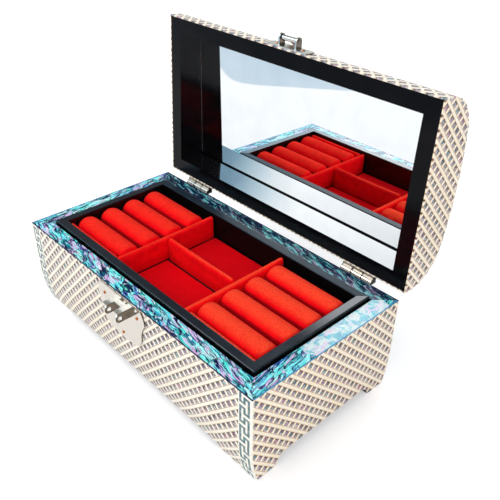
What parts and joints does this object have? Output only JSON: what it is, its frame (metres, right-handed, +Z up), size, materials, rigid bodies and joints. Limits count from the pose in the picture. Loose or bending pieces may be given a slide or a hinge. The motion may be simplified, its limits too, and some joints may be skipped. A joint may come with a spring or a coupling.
{
  "type": "jewelry chest",
  "caption": "Footed jewelry chest with shell inlay, a hinged mirrored lid, a folding catch, padlock lugs and a lift-out velvet ring tray over a storage well.",
  "frame": {"origin": "on the floor plane, midway between the body's ends and midway between its front and back walls", "axes": "+X runs along the chest towards its right end seen from the front, -Y is the front with the lock, +Y the hinge side, +Z up"},
  "size_m": [0.26, 0.1952, 0.221],
  "materials": {
    "black_lacquer": "gloss black lacquer",
    "shell_inlay": "cream and grey shell lattice under lacquer",
    "shell_rim": "blue-green shell mosaic under lacquer",
    "red_velvet": "short-pile velvet",
    "mirror": "silvered glass",
    "nickel": "polished nickel",
    "brass_nails": "aged brass"
  },
  "bodies": {
    "body": {"front_panel": "black_lacquer", "back_panel": "black_lacquer", "left_end_panel": "black_lacquer", "right_end_panel": "black_lacquer", "bottom_board": "black_lacquer", "storage_lining": "red_velvet", "left_tray_ledge": "black_lacquer", "right_tray_ledge": "black_lacquer", "front_inlay": "shell_inlay", "back_inlay": "shell_inlay", "left_end_inlay": "shell_inlay", "right_end_inlay": "shell_inlay", "rim_inlay": "shell_rim", "lock_plate": "nickel", "lock_lugs": "nickel", "lock_nails": "brass_nails", "left_hinge_body_leaf": "nickel", "right_hinge_body_leaf": "nickel", "left_hinge_pin": "nickel", "right_hinge_pin": "nickel", "body_hinge_nails": "brass_nails"},
    "lid": {"lid_front_rail": "black_lacquer", "lid_back_rail": "black_lacquer", "lid_crown": "black_lacquer", "lid_left_end": "black_lacquer", "lid_right_end": "black_lacquer", "lid_inlay": "shell_inlay", "lid_left_inlay": "shell_inlay", "lid_right_inlay": "shell_inlay", "lid_mirror": "mirror", "mirror_backing": "black_lacquer", "left_hinge_lid_leaf": "nickel", "right_hinge_lid_leaf": "nickel", "lid_hinge_nails": "brass_nails", "catch_bracket": "nickel", "catch_pin": "nickel", "bracket_nails": "brass_nails"},
    "catch": {"catch_flap": "nickel"},
    "tray": {"tray_front_wall": "black_lacquer", "tray_back_wall": "black_lacquer", "tray_left_wall": "black_lacquer", "tray_right_wall": "black_lacquer", "tray_floor": "black_lacquer", "left_divider": "red_velvet", "right_divider": "red_velvet", "centre_divider": "red_velvet", "front_well_pad": "red_velvet", "back_well_pad": "red_velvet", "left_roll_bed": "red_velvet", "right_roll_bed": "red_velvet", "left_ring_roll_1": "red_velvet", "left_ring_roll_2": "red_velvet", "left_ring_roll_3": "red_velvet", "left_ring_roll_4": "red_velvet", "right_ring_roll_1": "red_velvet", "right_ring_roll_2": "red_velvet", "right_ring_roll_3": "red_velvet", "right_ring_roll_4": "red_velvet"}
  },
  "joints": [
    {"name": "lid_hinge", "type": "hinge", "parent": "body", "child": "lid", "pos_m": [0, 0.0718, 0.0725], "axis": [1, 0, 0], "range_deg": [0, 92.9]},
    {"name": "catch_hinge", "type": "hinge", "parent": "lid", "child": "catch", "pos_m": [0.0012, 0.08539, 0.2182], "axis": [1, 0, 0], "range_deg": [0, 217.09]},
    {"name": "tray_lift", "type": "slide", "parent": "body", "child": "tray", "axis": [0, 0, 1], "range_m": [0, 0.018]}
  ]
}
